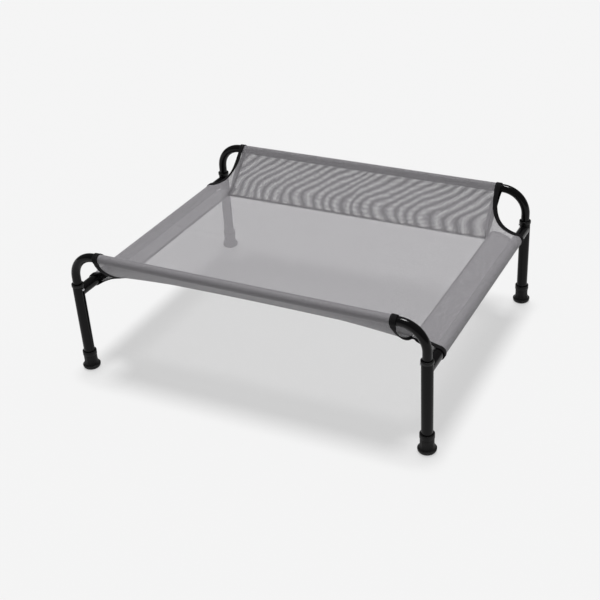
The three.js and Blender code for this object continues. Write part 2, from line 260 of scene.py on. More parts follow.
def joined(*parts):
    """Several (vertices, faces) as one."""
    vertices, faces, start = [], [], 0
    for part_vertices, part_faces in parts:
        vertices.append(part_vertices)
        faces.extend([[i + start for i in face] for face in part_faces])
        start += len(part_vertices)
    return np.vstack(vertices), faces


def turned(profile, centre=(0, 0, 0), sides=48, looped=False):
    """A profile of (radius, height) turned round a vertical axis."""
    angles = np.arange(sides) / sides * 2 * math.pi
    rings = []
    for radius, height in profile:
        ring = np.stack([radius * np.cos(angles), radius * np.sin(angles), np.full(sides, height)], 1)
        rings.append(ring + centre)
    return skin(rings, looped)


def swept(points, tangents, side, radius, sides=40):
    """Rings of one radius round a centre line that stays in the plane square to side."""
    angles = np.arange(sides) / sides * 2 * math.pi
    rings = []
    for point, tangent in zip(points, tangents):
        across = np.cross(side, tangent)
        ring = np.outer(np.cos(angles), side) + np.outer(np.sin(angles), across)
        rings.append(point + radius * ring)
    return rings


def hollow(points, tangents, side, radius, bore, sides=40):
    """A hollow tube along a centre line."""
    outer = swept(points, tangents, side, radius, sides)
    inner = swept(points, tangents, side, bore, sides)
    return skin(outer + inner[::-1], looped=True)


def unit(vectors):
    return vectors / (np.linalg.norm(vectors, axis=-1, keepdims=True) + 1e-12)


def smoothed(values, rounds):
    for _ in range(rounds):
        values[1:-1] = (values[:-2] + 2 * values[1:-1] + values[2:]) / 4
    return values


def leg_at(sx, sy, z=0):
    """A point on a leg's axis."""
    return np.array([sx * LEG_X, sy * LEG_Y, z])


def button_hole(piece, sx, sy, sides=32):
    """Cuts the hole for a button, from the leg's axis towards the middle of the bed."""
    radius, depth = BUTTON_RADIUS + GAP, LEG_RADIUS + 2 * MM
    angles = np.arange(sides) / sides * 2 * math.pi
    ring = np.stack([np.zeros(sides), radius * np.cos(angles), radius * np.sin(angles)], 1)
    ring += leg_at(sx, sy, BUTTON_Z)
    cutter = new_piece("cutter", *skin([ring, ring - [sx * depth, 0, 0]]), None)
    cut = piece.modifiers.new("hole", "BOOLEAN")
    cut.object = cutter
    cut.solver = "EXACT"
    evaluated = piece.evaluated_get(bpy.context.evaluated_depsgraph_get())
    mesh = bpy.data.meshes.new_from_object(evaluated)
    piece.modifiers.clear()
    piece.data = mesh
    bpy.data.objects.remove(cutter)


def place(piece, node, body=BODY):
    """Rides a body in the place of a CAD node."""
    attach(piece, body)
    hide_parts(node)


# ---- Materials -------------------------------------------------------------------


class Look:
    """A material whose nodes are added with short calls. Scales are per metre."""

    def __init__(self, name):
        self.material = bpy.data.materials.new(name)
        self.material.use_nodes = True
        self.tree = self.material.node_tree
        self.shader = self.tree.nodes["Principled BSDF"]

    def node(self, kind, settings=(), **inputs):
        node = self.tree.nodes.new(kind)
        for key, value in dict(settings).items():
            setattr(node, key, value)
        for key, value in inputs.items():
            self.feed(node.inputs[key], value)
        return node

    def feed(self, socket, value):
        if isinstance(value, bpy.types.NodeSocket):
            self.tree.links.new(value, socket)
        else:
            socket.default_value = value

    def set(self, **values):
        for key, value in values.items():
            self.feed(self.shader.inputs[key.replace("_", " ")], value)

    def place(self):
        return self.node("ShaderNodeTexCoord").outputs["Object"]

    def noise(self, vector, scale, detail=2.0):
        return self.node("ShaderNodeTexNoise", Vector=vector, Scale=scale, Detail=detail).outputs["Fac"]

    def math(self, operation, first, second=0.0, third=0.0):
        node = self.node("ShaderNodeMath", {"operation": operation})
        for socket, given in zip(node.inputs, (first, second, third)):
            self.feed(socket, given)
        return node.outputs[0]

    def ranged(self, value, low_in, high_in, low_out, high_out):
        node = self.node("ShaderNodeMapRange")
        for socket, given in zip(node.inputs, (value, low_in, high_in, low_out, high_out)):
            self.feed(socket, given)
        return node.outputs[0]

    def varied(self, noise_value, least, most):
        """A number that follows a noise, which mostly stays between 0.3 and 0.7."""
        return self.ranged(noise_value, 0.3, 0.7, least, most)

    def mixed(self, share, first, second):
        node = self.node("ShaderNodeMix", {"data_type": "RGBA"})
        colours = [socket for socket in node.inputs if socket.type == "RGBA"]
        self.feed(node.inputs["Factor"], share)
        self.feed(colours[0], first)
        self.feed(colours[1], second)
        return [socket for socket in node.outputs if socket.type == "RGBA"][0]

    def bump(self, height, distance, strength=1.0):
        node = self.node("ShaderNodeBump", Height=height, Distance=distance, Strength=strength)
        self.set(Normal=node.outputs["Normal"])


def grey(value):
    return (value, value, value, 1)


def dimmed(colour, brightness):
    return tuple(brightness * part for part in colour[:3]) + (1,)


def paint_look():
    """Black powder coat: orange peel, a little unevenness in the gloss."""
    look = Look("frame_paint")
    spot = look.place()
    cloud = look.noise(spot, 22, detail=3)
    look.set(
        Base_Color=look.mixed(cloud, (0.0025, 0.0024, 0.0026, 1), (0.004, 0.0038, 0.0041, 1)),
        Roughness=look.varied(look.noise(spot, 60, detail=4), 0.11, 0.18),
        Specular_IOR_Level=0.16,
    )
    look.bump(look.noise(spot, 700, detail=1), 0.03 * MM)
    return look.material


def rubber_look():
    """Matt black rubber, with a little dust near the floor."""
    look = Look("foot_rubber")
    spot = look.place()
    height = look.node("ShaderNodeSeparateXYZ", Vector=spot).outputs["Z"]
    dust = look.math("MULTIPLY", look.ranged(height, 0, 0.02, 0.7, 0), look.noise(spot, 120, detail=4))
    look.set(
        Base_Color=look.mixed(dust, (0.0045, 0.0043, 0.0045, 1), (0.02, 0.0195, 0.019, 1)),
        Roughness=look.varied(look.noise(spot, 90, detail=3), 0.45, 0.62),
        Specular_IOR_Level=0.2,
    )
    look.bump(look.noise(spot, 1500), 0.06 * MM)
    return look.material


def plastic_look():
    """Moulded black plastic, satin."""
    look = Look("collar_plastic")
    spot = look.place()
    cloud = look.noise(spot, 40)
    look.set(
        Base_Color=look.mixed(cloud, (0.0035, 0.0035, 0.0037, 1), (0.006, 0.006, 0.0063, 1)),
        Roughness=look.varied(look.noise(spot, 150, detail=3), 0.38, 0.5),
        Specular_IOR_Level=0.22,
    )
    look.bump(look.noise(spot, 1200), 0.03 * MM)
    return look.material


def metal_look(name, colour, roughness):
    """Bare metal with a fine drawn grain."""
    look = Look(name)
    spot = look.place()
    stretched = look.node("ShaderNodeMapping", Vector=spot, Scale=(1, 1, 0.1)).outputs[0]
    grain = look.noise(stretched, 1800)
    look.set(
        Base_Color=look.mixed(look.noise(spot, 500), colour, dimmed(colour, 0.8)),
        Metallic=1.0,
        Roughness=look.varied(grain, roughness - 0.06, roughness + 0.08),
    )
    look.bump(grain, 0.02 * MM)
    return look.material


def mesh_look(name, openness, brightness=1.0):
    """Coated mesh: warp and weft threads with square holes between them. A brightness below 1 darkens
    the threads as painted shade.

    The map is in metres of cloth, so the pitch is the real one.
    """
    look = Look(name)
    cloth_place = look.node("ShaderNodeUVMap", {"uv_map": "cloth"}).outputs["UV"]
    parts = look.node("ShaderNodeSeparateXYZ", Vector=cloth_place)
    wave = look.noise(cloth_place, WANDER_SCALE, detail=1)
    stray = look.math("MULTIPLY_ADD", wave, WANDER, parts.outputs["X"])
    along = look.math("DIVIDE", stray, WARP_PITCH)
    across = look.math("DIVIDE", parts.outputs["Y"], WEFT_PITCH)
    warp = look.math("PINGPONG", along, 0.5)  # 0 on a thread's middle, 0.5 between two
    weft = look.math("PINGPONG", across, 0.5)
    hole = look.math(
        "MULTIPLY",
        look.math("GREATER_THAN", warp, (1 - openness[0]) / 2),
        look.math("GREATER_THAN", weft, (1 - openness[1]) / 2),
    )
    count = look.math("ADD", look.math("ROUND", along), look.math("ROUND", across))
    over = look.math("PINGPONG", count, 1.0)  # 1 where the warp lies on top
    warp_top = look.math("ADD", over, 1.0)
    weft_top = look.math("SUBTRACT", 2.0, over)
    warp_height = look.math("SUBTRACT", warp_top, look.math("MULTIPLY", warp, THREAD_SLOPE))
    weft_height = look.math("SUBTRACT", weft_top, look.math("MULTIPLY", weft, THREAD_SLOPE))
    height = look.math("MAXIMUM", warp_height, weft_height)
    clouds = look.node("ShaderNodeMapping", Vector=cloth_place, Scale=(CLOUD_SCALE, CLOUD_SCALE, 1))
    shade = look.noise(clouds.outputs[0], 1, detail=3)
    # brightness below 1 dims both thread colours: painted shade
    look.set(
        Base_Color=look.mixed(shade, dimmed(THREAD_DARK, brightness), dimmed(THREAD_LIGHT, brightness)),
        Roughness=look.ranged(height, 1 - THREAD_SLOPE / 2, 2.0, 0.75, 0.5),
        Alpha=look.math("SUBTRACT", 1.0, hole),
        Specular_IOR_Level=0.25,
        Sheen_Weight=0.06,
        Sheen_Roughness=0.4,
    )
    look.bump(height, 0.08 * MM, 0.6)
    return look.material


def tape_look():
    """Ribbed binding tape; its map runs along and across it, in metres."""
    look = Look("binding_tape")
    tape_place = look.node("ShaderNodeUVMap", {"uv_map": "cloth"}).outputs["UV"]
    parts = look.node("ShaderNodeSeparateXYZ", Vector=tape_place)
    rib = look.math("PINGPONG", look.math("DIVIDE", parts.outputs["X"], TAPE_RIB), 0.5)
    yarn = look.math("PINGPONG", look.math("DIVIDE", parts.outputs["Y"], TAPE_YARN), 0.5)
    height = look.math("SUBTRACT", 1.0, look.math("ADD", rib, look.math("MULTIPLY", yarn, 0.4)))
    fuzz = look.noise(look.place(), 900, detail=3)
    look.set(
        Base_Color=look.mixed(fuzz, (0.0028, 0.0026, 0.003, 1), (0.007, 0.0066, 0.0074, 1)),
        Roughness=look.varied(fuzz, 0.75, 0.9),
        Specular_IOR_Level=0.12,
        Sheen_Weight=0.02,
        Sheen_Roughness=0.5,
    )
    look.bump(look.math("ADD", height, look.math("MULTIPLY", fuzz, 0.4)), 0.15 * MM)
    return look.material


def thread_look(name, colour):
    """Twisted sewing thread, with painted shade in the grooves of its twist."""
    look = Look(name)
    spot = look.place()
    twist = look.node("ShaderNodeTexWave", Vector=spot, Scale=900, Distortion=2).outputs["Fac"]
    look.set(
        # painted shade: the low parts of the twist are darker
        Base_Color=look.mixed(twist, dimmed(colour, 0.7), colour),
        Roughness=look.ranged(twist, 0, 1, 0.75, 0.55),
    )
    look.bump(twist, 0.05 * MM)
    return look.material


PAINT = paint_look()
RUBBER = rubber_look()
PLASTIC = plastic_look()
ZINC = metal_look("button_zinc", (0.62, 0.62, 0.64, 1), 0.3)
SPRING_STEEL = metal_look("spring_steel", (0.42, 0.43, 0.45, 1), 0.35)
MESH = mesh_look("sling_mesh", OPEN)
STRETCHED_MESH = mesh_look("sling_mesh_stretched", STRETCHED_OPEN)
SLACK_SHADED_MESH = mesh_look("sling_mesh_slack_shaded", SLACK_OPEN, SLACK_PAINTED_SHADE)
TAPE = tape_look()
GREY_THREAD = thread_look("grey_thread", (0.3, 0.295, 0.305, 1))
BLACK_THREAD = thread_look("black_thread", (0.014, 0.013, 0.014, 1))


# ---- Legs, feet and collars ------------------------------------------------------


def saddle(angles, radius):
    """How far from a leg's axis a tube that runs along Y meets it, at each angle round the tube."""
    return np.sqrt((LEG_RADIUS + GAP) ** 2 - (radius * np.cos(angles)) ** 2)


def butted_tube(x, radius, bore, near, far, sides=48):
    """A hollow tube along Y whose ends are given for each angle round it."""
    angles = np.arange(sides) / sides * 2 * math.pi
    rings = []
    for ring_radius, shares in ((radius, (0, 1)), (bore, (1, 0))):
        start, end = near(angles, ring_radius), far(angles, ring_radius)
        for share in shares:
            y = start + (end - start) * share
            ring_x = x + ring_radius * np.cos(angles)
            ring_z = SIDE_RAIL_Z + ring_radius * np.sin(angles)
            rings.append(np.stack([ring_x, y, ring_z], 1))
    return skin(rings, looped=True)


def leg(corner, sx, sy):
    """An upright tube with a stub for the side rail and a hole for the button."""
    rim = 0.4 * MM
    bore = LEG_RADIUS - TUBE_WALL
    profile = [
        (bore, LEG_BOTTOM), (LEG_RADIUS, LEG_BOTTOM), (LEG_RADIUS, LEG_TOP - rim),
        (LEG_RADIUS - rim / 3, LEG_TOP - rim / 3), (LEG_RADIUS - rim, LEG_TOP), (bore, LEG_TOP),
    ]
    tube = turned(profile, leg_at(sx, sy), looped=True)
    stub = butted_tube(
        sx * LEG_X, STUB_RADIUS, STUB_RADIUS - TUBE_WALL,
        lambda angles, radius: sy * (LEG_Y - saddle(angles, radius) + WELD_DEPTH),
        lambda angles, radius: np.full(len(angles), sy * STUB_END),
    )
    piece = new_piece(f"leg_tube_{corner}", *joined(tube, stub), PAINT)
    button_hole(piece, sx, sy)
    place(piece, f"leg_{corner}")


def foot(corner, sx, sy):
    """A rubber cup: a flared, rounded base, a neck with soft flats, and a lip."""
    cup = LEG_RADIUS + GAP
    turns = np.linspace(0, math.pi / 2, FOOT_STEPS)
    flare = FOOT_FLARE_RADIUS - FOOT_BASE_RADIUS
    shoulder = FOOT_FLARE_RADIUS - FOOT_NECK_RADIUS
    profile = [(FOOT_BASE_RADIUS - FOOT_EDGE, 0.0), (FOOT_BASE_RADIUS, 0.0)]
    for turn in turns[1:]:
        height = FOOT_FLARE_Z * (1 - math.cos(turn))
        profile.append((FOOT_BASE_RADIUS + flare * math.sin(turn), height))
    rise = FOOT_NECK_BOTTOM - FOOT_FLARE_Z
    for turn in turns[1:]:
        height = FOOT_NECK_BOTTOM - rise * math.cos(turn)
        profile.append((FOOT_FLARE_RADIUS - shoulder * math.sin(turn), height))
    neck = FOOT_LIP_BOTTOM - FOOT_EDGE - FOOT_NECK_BOTTOM
    for share in FOOT_NECK_RINGS:
        profile.append((FOOT_NECK_RADIUS, FOOT_NECK_BOTTOM + share * neck))
    for turn in turns[::3]:
        radius = FOOT_LIP_RADIUS - FOOT_EDGE * (1 - math.sin(turn))
        profile.append((radius, FOOT_LIP_BOTTOM - FOOT_EDGE / 2 * math.cos(turn)))
    for turn in turns[::3]:
        radius = FOOT_LIP_RADIUS - FOOT_EDGE * (1 - math.cos(turn))
        profile.append((radius, FOOT_TOP - FOOT_EDGE * (1 - math.sin(turn))))
    mouth = [(cup + GAP, FOOT_TOP), (cup, FOOT_TOP - FOOT_EDGE / 2), (cup, LEG_BOTTOM - GAP)]
    profile += mouth
    centre = leg_at(sx, sy)
    vertices, faces = turned(profile, centre, sides=96)
    flat = vertices - centre
    angles = np.arctan2(flat[:, 1], flat[:, 0]) - FOOT_TURNS[corner]
    segment = math.pi / FOOT_FLATS
    polygon = math.cos(segment) / np.cos(np.mod(angles, 2 * segment) - segment)
    middle_height = (FOOT_FLARE_Z + FOOT_LIP_BOTTOM) / 2
    half_height = (FOOT_LIP_BOTTOM - FOOT_FLARE_Z) / 2
    fade = ((flat[:, 2] - middle_height) / half_height) ** 4
    window = np.clip(1.15 - fade, 0, 1)  # full over most of the neck, none at its two ends
    outside = np.hypot(flat[:, 0], flat[:, 1]) > cup + FOOT_EDGE
    share = FOOT_FLAT_DEPTH * window * outside
    vertices[:, :2] += flat[:, :2] * (share * (polygon - 1))[:, None]
    piece = new_piece(f"foot_cup_{corner}", vertices, faces, RUBBER, sharp=math.radians(50))
    place(piece, f"foot_{corner}")


def collar(corner, sx, sy):
    """A bush in the leg's mouth, with a rounded ring on the rim."""
    bore = RAIL_RADIUS + GAP
    skirt = LEG_RADIUS - TUBE_WALL - GAP
    seat = LEG_TOP + GAP
    edge = 1.2 * MM
    chamfer = 0.4 * MM
    profile = [(bore, COLLAR_BOTTOM), (skirt, COLLAR_BOTTOM), (skirt, seat)]
    profile += [(COLLAR_RADIUS - 0.75 * chamfer, seat), (COLLAR_RADIUS, seat + chamfer)]
    for turn in np.linspace(0, math.pi / 2, 7):
        radius = COLLAR_RADIUS - edge * (1 - math.cos(turn))
        profile.append((radius, COLLAR_TOP - edge * (1 - math.sin(turn))))
    profile += [(bore + chamfer, COLLAR_TOP), (bore, COLLAR_TOP - chamfer)]
    bush = turned(profile, leg_at(sx, sy), sides=64, looped=True)
    piece = new_piece(f"collar_bush_{corner}", *bush, PLASTIC)
    button_hole(piece, sx, sy)
    place(piece, f"leg_collar_{corner}")


def snap_button(corner, sx, sy):
    """A flanged, domed stud along X, on its own body."""
    dome = 1.3 * MM
    edge = 0.15 * MM
    root_flat, tip_flat = 0.5 * MM, 0.2 * MM  # radii of the flat middles of its two ends
    flange_end = BUTTON_ROOT + FLANGE_THICKNESS
    profile = [
        (root_flat, BUTTON_ROOT), (FLANGE_RADIUS - edge, BUTTON_ROOT),
        (FLANGE_RADIUS, BUTTON_ROOT + edge), (FLANGE_RADIUS, flange_end), (BUTTON_RADIUS, flange_end),
    ]
    for turn in np.linspace(0, math.pi / 2, 9)[:-1]:
        profile.append((BUTTON_RADIUS * math.cos(turn), BUTTON_TIP - dome * (1 - math.sin(turn))))
    profile.append((tip_flat, BUTTON_TIP))
    vertices, faces = turned(profile, sides=32)
    vertices = vertices[:, [2, 1, 0]] * [-sx, 1, 1] + leg_at(sx, sy, BUTTON_Z)
    piece = new_piece(f"button_stud_{corner}", vertices, faces, ZINC)
    place(piece, f"snap_button_{corner}", f"button_{corner}")


def button_spring(corner, sx, sy):
    """A V-shaped leaf inside the rail. On the bed its back arm stays and the front one goes with the
    button; here it is one fixed piece.
    """
    half = SPRING_THICKNESS / 2
    front, back = SPRING_FRONT - half, SPRING_BACK + half
    fold = np.array([(front + back) / 2, SPRING_BOTTOM + half])
    front_arm = [(front, SPRING_TOP), (front, SPRING_BEND_Z)]
    corners = [*front_arm, fold, (back, SPRING_BEND_Z), (back, SPRING_TOP)]
    line = [np.linspace(a, b, SPRING_STEPS)[:-1] for a, b in zip(corners, corners[1:])]
    line = smoothed(np.vstack(line + [corners[-1]]), 2)
    rings = []
    for (x, z), (run_x, run_z) in zip(line, unit(np.gradient(line, axis=0))):
        ring = []
        for side, face in ((-1, 1), (1, 1), (1, -1), (-1, -1)):
            ring.append((x - face * half * run_z, side * SPRING_WIDTH / 2, z + face * half * run_x))
        rings.append(ring)
    vertices, faces = skin(rings)
    vertices = vertices * [-sx, 1, 1] + leg_at(sx, sy)
    piece = new_piece(f"leaf_spring_{corner}", vertices, faces, SPRING_STEEL)
    across = unit(np.array([SPRING_BEND_Z - fold[1], fold[0] - back]))  # square to the back arm
    reach = abs(np.dot(np.array([front, SPRING_BEND_Z]) - fold, across))
    for share in (SPRING_STILL, 1):
        x, z = fold + across * reach * share
    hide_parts(f"button_spring_{corner}")
    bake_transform(piece)


# ---- Rails -----------------------------------------------------------------------


def long_rail_line(sx, sy):
    """Centre line of half a long rail, from its end in the leg to the middle of the bed."""
    bend_x, bend_z = LEG_X - BEND_RADIUS, LONG_RAIL_Z - BEND_RADIUS
    points, tangents = [], []
    for z in np.linspace(RAIL_END_Z, bend_z, RAIL_STEPS)[:-1]:
        points.append(leg_at(sx, sy, z))
        tangents.append((0, 0, 1))
    for turn in np.linspace(0, math.pi / 2, BEND_STEPS):
        cos, sin = math.cos(turn), math.sin(turn)
        points.append((sx * (bend_x + BEND_RADIUS * cos), sy * LEG_Y, bend_z + BEND_RADIUS * sin))
        tangents.append((-sx * sin, 0, cos))
    points.append((sx * GAP / 2, sy * LEG_Y, LONG_RAIL_Z))
    tangents.append((-sx, 0, 0))
    return np.array(points), np.array(tangents)


def long_rail_half(name_y, name_x, sx, sy):
    """A bent tube. The left one has a swaged end that goes into the right one."""
    points, tangents = long_rail_line(sx, sy)
    side = np.array([0, 1, 0])
    bore = RAIL_RADIUS - TUBE_WALL
    parts = [hollow(points, tangents, side, RAIL_RADIUS, bore)]
    if sx < 0:
        line = np.array([(x, sy * LEG_Y, LONG_RAIL_Z) for x in (SPIGOT_ROOT, SPIGOT_END)])
        parts.append(hollow(line, [(1, 0, 0)] * 2, side, SPIGOT_RADIUS, SPIGOT_RADIUS - TUBE_WALL))
    piece = new_piece(f"{name_y}_rail_tube_{name_x}", *joined(*parts), PAINT)
    button_hole(piece, sx, sy)
    place(piece, f"{name_y}_rail_{name_x}_half")


def side_rail(name_x, sx):
    """A tube over the stubs of two legs."""
    tube = butted_tube(
        sx * LEG_X, LEG_RADIUS, LEG_RADIUS - TUBE_WALL,
        lambda angles, radius: saddle(angles, radius) - LEG_Y,
        lambda angles, radius: LEG_Y - saddle(angles, radius),
        sides=64,
    )
    place(new_piece(f"side_rail_tube_{name_x}", *tube, PAINT), f"side_rail_{name_x}")


for name_y, sy in SIDES_Y.items():
    for name_x, sx in SIDES_X.items():
        corner = f"{name_y}_{name_x}"
        leg(corner, sx, sy)
        foot(corner, sx, sy)
        collar(corner, sx, sy)
        snap_button(corner, sx, sy)
        long_rail_half(name_y, name_x, sx, sy)
        button_spring(corner, sx, sy)
for name_x, sx in SIDES_X.items():
    side_rail(name_x, sx)


# ---- Sling -----------------------------------------------------------------------
# One cross-shaped sheet. Its upper layer is a grid: columns run from the middle of the
# bed over the side rails and back underneath, and rows from the middle to the long
# rails. The bolsters' outer layers go on from the upper layer's last rows.

BED_COLUMNS = 56  # from the middle of the bed to a corner cut-out
CUTOUT_COLUMNS = 26
WRAP_COLUMNS = 14
UNDER_COLUMNS = 12
BED_ROWS = 36  # from the middle of the bed to a fold line
RISE_ROWS = 26  # from a fold line to a long rail or a cut-out
OVER_ROWS = 16
DOWN_ROWS = 24
HEM_STEPS = 4
LOOSE_COLUMNS = 20  # of a bolster, next to a cut-out, that settle with the corner
SETTLE_ROUNDS = 500
PLAIN, STRETCHED, SLACK = range(3)  # the sling's looks, in the order of its materials


def tangent_angles(centre, radius, point):
    """Where the two tangents from a point touch a circle, the upper one first."""
    aside, up = np.subtract(point, centre)
    toward = math.atan2(up, aside) % (2 * math.pi)
    lean = math.acos(radius / math.hypot(aside, up))
    return toward - lean, toward + lean - 2 * math.pi


def on_circle(centre, radius, angle):
    return np.array([centre[0] + radius * math.cos(angle), centre[1] + radius * math.sin(angle)])


RING_X = BOLSTER_HALF_LENGTH + GAP + TAPE_WIDTH / 2
RING_Y = SLEEVE_HALF_LENGTH + GAP + TAPE_WIDTH / 2
LONG_RAIL = (LEG_Y, LONG_RAIL_Z)  # its axis in the YZ plane
SIDE_RAIL = (LEG_X, SIDE_RAIL_Z)  # its axis in the XZ plane
LONG_WRAP = RAIL_RADIUS + CLOTH_RADIUS_OVER
SIDE_WRAP = LEG_RADIUS + CLOTH_RADIUS_OVER
LONG_START, LONG_END = tangent_angles(LONG_RAIL, LONG_WRAP, (FOLD_Y, SEAM_Z))
SIDE_START, SIDE_END = tangent_angles(SIDE_RAIL, SIDE_WRAP, (SEAM_X, SEAM_Z))
LONG_TOUCH = on_circle(LONG_RAIL, LONG_WRAP, LONG_START)  # where the upper layer meets a rail
SIDE_TOUCH = on_circle(SIDE_RAIL, SIDE_WRAP, SIDE_START)
SIDE_SLOPE = (SIDE_TOUCH[1] - SEAM_Z) / (SIDE_TOUCH[0] - SEAM_X)


def cutout(t):
    """The edge of the rear right cut-out, from the long rail to the side rail."""
    start = np.array([RING_X, *LONG_TOUCH])
    end = np.array([SIDE_TOUCH[0], RING_Y, SIDE_TOUCH[1]])
    across = end - start - CUTOUT_CORNER
    reach = math.sin(t * math.pi / 2) ** CUTOUT_ROUNDING
    swing = 1 - abs(math.cos(t * math.pi / 2)) ** CUTOUT_ROUNDING
    return start + CUTOUT_CORNER * reach + across * swing


def hem_line(sewn, edge):
    """Points of a hem in a section: along the layer above to the sewn line, and back inside."""
    along = unit(edge - sewn)
    below = np.array([along[1], -along[0]])
    points = []
    for share in np.linspace(1, 0, HEM_STEPS):
        points.append(sewn + along * HEM * share + below * 2 * HEM_STEP)
    for share in np.linspace(*HEM_FOLD, HEM_STEPS):
        points.append(sewn + along * HEM * share + below * HEM_STEP)
    return points


def side_section():
    """The upper layer's XZ section beyond the cut-out: over the side rail and back to the seam."""
    points = []
    for angle in np.linspace(SIDE_START, SIDE_END, WRAP_COLUMNS + 1)[1:]:
        points.append(on_circle(SIDE_RAIL, SIDE_WRAP, angle))
    hem = hem_line(np.array([SEAM_X, SEAM_Z]), SIDE_TOUCH)
    under = points[-1]
    for share in np.linspace(0, 1, UNDER_COLUMNS + 1)[1:-1]:
        points.append(under + (hem[0] - under) * share)
    return points + hem


def bed_height(x, y):
    """The bed panel: held up along its sewn lines, and slack in the middle."""
    across, along = 1 - (x / SEAM_X) ** 2, 1 - (y / FOLD_Y) ** 2
    return SEAM_Z + FOLD_RISE * across * (y / FOLD_Y) ** 2 - SAG * across * along


def risen(column, end):
    """A column of the bed, carried on in a straight line to its end."""
    start = np.array(column[-1])
    return column + [start + (end - start) * j / RISE_ROWS for j in range(1, RISE_ROWS + 1)]


def upper_quarter(flap_reach):
    """The upper layer for positive X and Y: points, cloth coordinates and what may settle."""
    side = side_section()
    columns = []
    for x in np.arange(BED_COLUMNS + 1) / BED_COLUMNS * RING_X:
        fold_y = FOLD_Y - FOLD_PULL * (1 - (x / SEAM_X) ** 2)
        bed = [fold_y * j / BED_ROWS for j in range(BED_ROWS + 1)]
        column = [(x, y, bed_height(x, y * FOLD_Y / fold_y)) for y in bed]
        columns.append(risen(column, np.array([x, *LONG_TOUCH])))
    for i in range(1, CUTOUT_COLUMNS + 1):
        edge = cutout(i / CUTOUT_COLUMNS)
        x = edge[0]
        z = SEAM_Z + (x - SEAM_X) * SIDE_SLOPE
        column = [(x, FOLD_Y * j / BED_ROWS, z) for j in range(BED_ROWS + 1)]
        columns.append(risen(column, edge))
    for i, (x, z) in enumerate(side):
        under = min(1, max(0, i + 1 - WRAP_COLUMNS) / UNDER_COLUMNS)
        end_y = RING_Y - (RING_Y - FOLD_Y - flap_reach) * under
        ys = [FOLD_Y * j / BED_ROWS for j in range(BED_ROWS + 1)]
        ys += [FOLD_Y + (end_y - FOLD_Y) * j / RISE_ROWS for j in range(1, RISE_ROWS + 1)]
        lift = FLAP_LIFT * math.sin(under * math.pi)
        columns.append([(x, y, z + lift * (y / end_y) ** FLAP_LIFT_POWER) for y in ys])
    points = np.array(columns, float)

    steps_u = np.linalg.norm(np.diff(points[:, 0], axis=0), axis=1)
    u = np.concatenate([[0], np.cumsum(steps_u)])
    steps_v = np.linalg.norm(np.diff(points, axis=1), axis=2)
    v = np.concatenate([np.zeros((len(points), 1)), np.cumsum(steps_v, axis=1)], axis=1)
    cloth = np.stack([np.repeat(u[:, None], v.shape[1], 1), v], 2)
    first_under = WRAP_COLUMNS - len(side)
    cloth[first_under:, :, 0] += UNDER_BIAS * v[first_under:]

    free = np.zeros(points.shape[:2], bool)
    free[BED_COLUMNS + 1 : BED_COLUMNS + CUTOUT_COLUMNS - 1, :-1] = True
    free[BED_COLUMNS - LOOSE_COLUMNS : BED_COLUMNS + 1, BED_ROWS + 1 : -1] = True
    return points, cloth, free


def mirrored(rear, front, signs):
    """The whole grid from two quarters. signs says how each number changes in X and in Y."""
    sign_x, sign_y = np.array(signs[0]), np.array(signs[1])
    rear_half = np.concatenate([rear[:0:-1] * sign_x, rear])
    front_half = np.concatenate([front[:0:-1] * sign_x, front])
    return np.concatenate([front_half[:, :0:-1] * sign_y, rear_half], axis=1)


def relaxed(points, free, rounds):
    """Lets the free points of a grid settle as a soap film does between the held ones."""
    gaps_i = np.linalg.norm(np.diff(points, axis=0), axis=2)[..., None] + 1e-6
    gaps_j = np.linalg.norm(np.diff(points, axis=1), axis=2)[..., None] + 1e-6
    pull_i, pull_j = 1 / gaps_i, 1 / gaps_j
    weights = [pull_i[1:, 1:-1], pull_i[:-1, 1:-1], pull_j[1:-1, 1:], pull_j[1:-1, :-1]]
    total = sum(weights)
    inside = free[1:-1, 1:-1, None]
    for _ in range(rounds):
        around = [points[2:, 1:-1], points[:-2, 1:-1], points[1:-1, 2:], points[1:-1, :-2]]
        settled = sum(w * p for w, p in zip(weights, around)) / total
        points[1:-1, 1:-1] = np.where(inside, settled, points[1:-1, 1:-1])
    return points


def ripples(points):
    """Small waves in the side strips, between the sewn line and the rail."""
    strip_end = SIDE_RAIL[0] - SIDE_WRAP / 2
    heights = np.zeros(points.shape[:2])
    for index in np.ndindex(heights.shape):
        x, y, z = points[index]
        share = (abs(x) - SEAM_X) / (strip_end - SEAM_X)
        if 0 < share < 1 and abs(y) < FOLD_Y and z > SEAM_Z:
            window = math.sin(share * math.pi) * min(1, (1 - abs(y) / FOLD_Y) / RIPPLE_FADE)
            wave = noise.noise(Vector((x * RIPPLE_SCALE[0], y * RIPPLE_SCALE[1], 0)))
            heights[index] = RIPPLE * window * wave
    return heights


def fold_mark(points):
    """The ridge that packing left across the bed's left end."""
    x, y, z = points[..., 0], points[..., 1], points[..., 2]
    on_bed = (z > SEAM_Z - 2 * SAG) & (x > -SIDE_RAIL[0])
    fade = np.clip((MARK_END - x) / MARK_FADE, 0, 1) * on_bed
    return MARK_HEIGHT * fade * np.maximum(0, 1 - np.abs(y - MARK_Y) / MARK_WIDTH)


